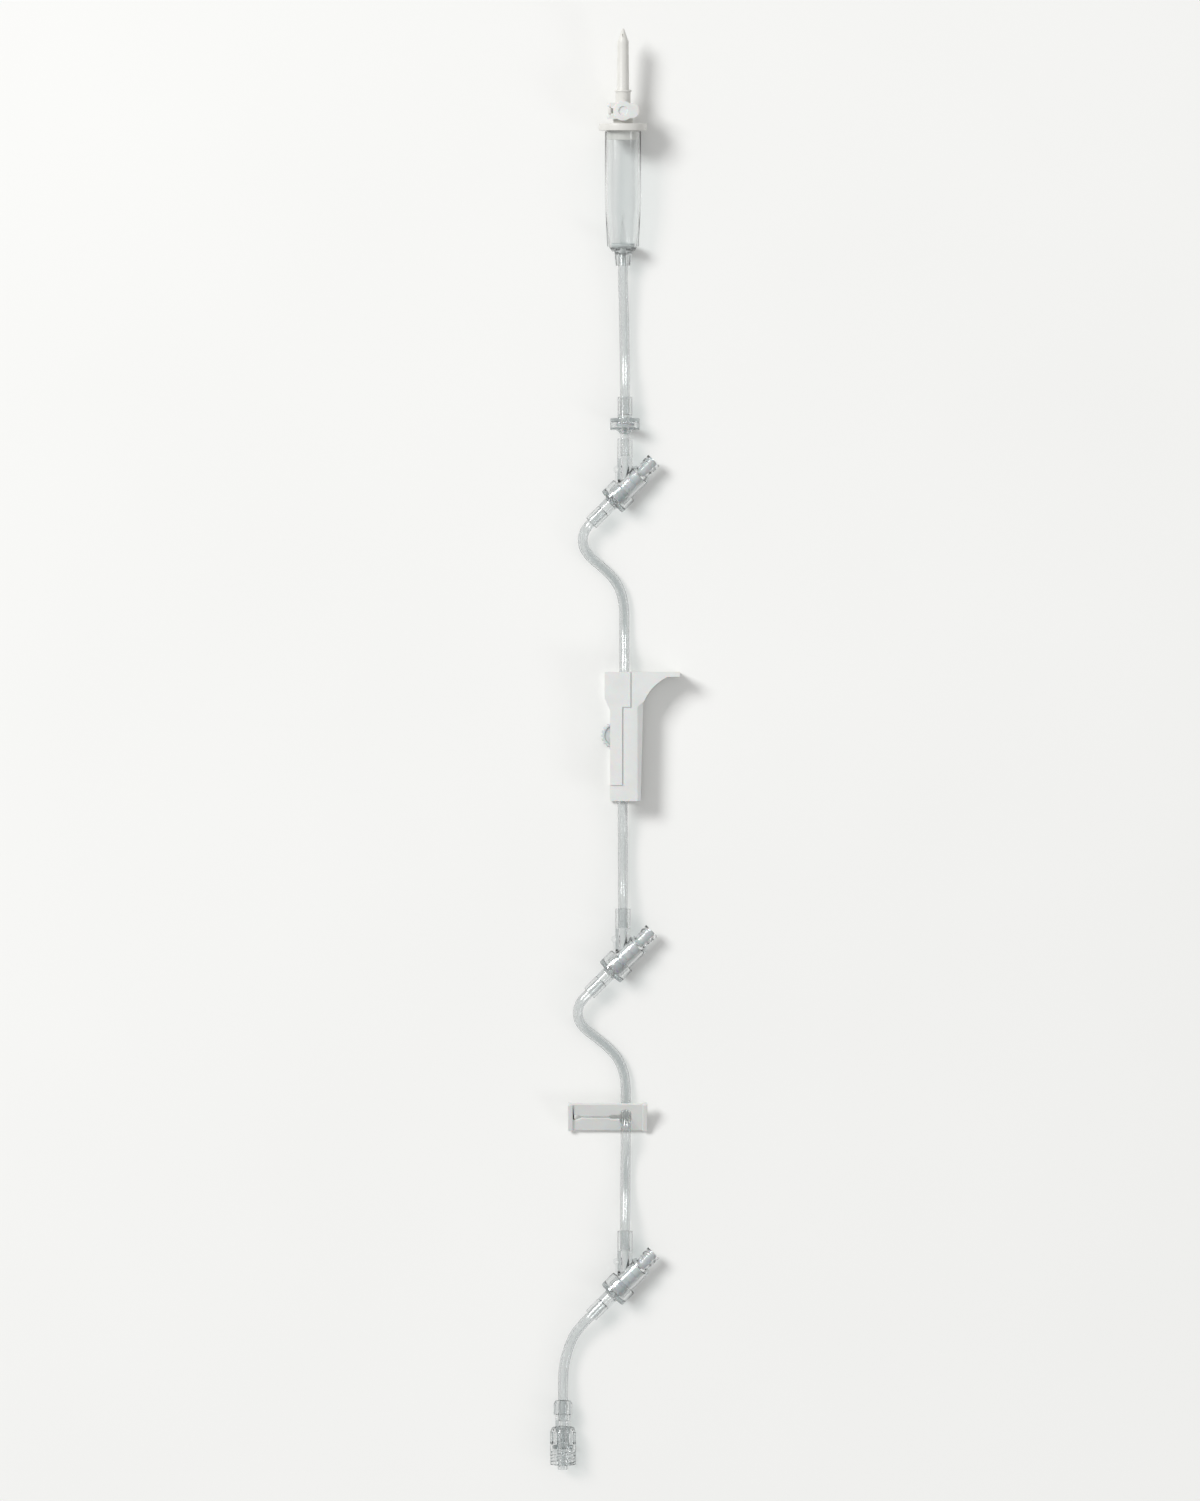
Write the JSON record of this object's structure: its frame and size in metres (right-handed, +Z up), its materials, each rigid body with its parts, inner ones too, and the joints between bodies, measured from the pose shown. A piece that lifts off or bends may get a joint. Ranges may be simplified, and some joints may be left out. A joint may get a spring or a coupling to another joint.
{
  "type": "iv infusion set",
  "caption": "Gravity infusion set lying flat: vented spike, drip chamber, clear tubing with check valve, needle-free Y ports, roller clamp, slide clamp and rotating male luer lock.",
  "frame": {"origin": "on the table, under the middle of the box around the rigid pieces", "axes": "+Y along the set from the luer to the spike, +X to the side of the clamp's hook and the ports' branches, +Z up"},
  "size_m": [0.0518, 0.5758, 0.0193],
  "materials": {
    "clear_pvc": "clear, soft, glossy",
    "clear_acrylic": "clear, glossy",
    "white_abs": "moulded, satin",
    "white_polyethylene": "moulded, waxy",
    "silicone": "translucent, matte",
    "membrane": "matte",
    "mesh_filter": "fine mesh"
  },
  "bodies": {
    "line": {"spike_cap": "white_abs", "vent_filter": "membrane", "drip_chamber": "clear_acrylic", "fluid_filter": "mesh_filter", "tube_chamber_to_valve": "clear_pvc", "check_valve_inlet": "clear_acrylic", "check_valve_outlet": "clear_acrylic", "tube_port_1_to_port_2": "clear_pvc", "roller_clamp_body": "white_polyethylene", "tube_port_2_to_port_3": "clear_pvc", "tube_port_3_to_luer": "clear_pvc", "male_luer": "clear_acrylic", "port_1_body": "clear_acrylic", "port_1_base": "clear_acrylic", "port_2_body": "clear_acrylic", "port_2_base": "clear_acrylic", "port_3_body": "clear_acrylic", "port_3_base": "clear_acrylic"},
    "vent_cap": {"vent_cap": "white_polyethylene"},
    "roller": {"roller": "white_polyethylene"},
    "slide_clamp": {"slide_clamp": "white_polyethylene"},
    "luer_collar": {"luer_collar": "clear_acrylic"},
    "check_valve_diaphragm": {"check_valve_diaphragm": "silicone"},
    "port_1_seal": {"port_1_seal": "silicone"},
    "port_2_seal": {"port_2_seal": "silicone"},
    "port_3_seal": {"port_3_seal": "silicone"}
  },
  "joints": [
    {"name": "vent_cap_hinge", "type": "hinge", "parent": "line", "child": "vent_cap", "pos_m": [-0.0021, 0.25482, 0.01484], "axis": [0, -0.9974, -0.0717], "range_deg": [0, 150]},
    {"name": "roller_slide", "type": "slide", "parent": "line", "child": "roller", "axis": [0, 1, 0], "range_m": [-0.0175, 0.009], "deforming": ["tube_port_1_to_port_2"]},
    {"name": "slide_clamp_slide", "type": "slide", "parent": "line", "child": "slide_clamp", "axis": [1, 0, 0], "range_m": [0, 0.012], "deforming": ["tube_port_2_to_port_3"]},
    {"name": "luer_collar_spin", "type": "hinge", "parent": "line", "child": "luer_collar", "pos_m": [-0.0208, -0.28, 0.00512], "axis": [0, 1, 0], "continuous": true},
    {"name": "check_valve_lift", "type": "slide", "parent": "line", "child": "check_valve_diaphragm", "axis": [0, -1, 0], "range_m": [-0.0002, 0.0003]},
    {"name": "port_1_seal_slide", "type": "slide", "parent": "line", "child": "port_1_seal", "axis": [-0.7071, -0.7071, 0], "range_m": [0, 0.004], "stiffness_N_per_m": 800, "deforming": ["port_1_seal"]},
    {"name": "port_2_seal_slide", "type": "slide", "parent": "line", "child": "port_2_seal", "axis": [-0.7071, -0.7071, 0], "range_m": [0, 0.004], "stiffness_N_per_m": 800, "deforming": ["port_2_seal"]},
    {"name": "port_3_seal_slide", "type": "slide", "parent": "line", "child": "port_3_seal", "axis": [-0.7071, -0.7071, 0], "range_m": [0, 0.004], "stiffness_N_per_m": 800, "deforming": ["port_3_seal"]}
  ]
}
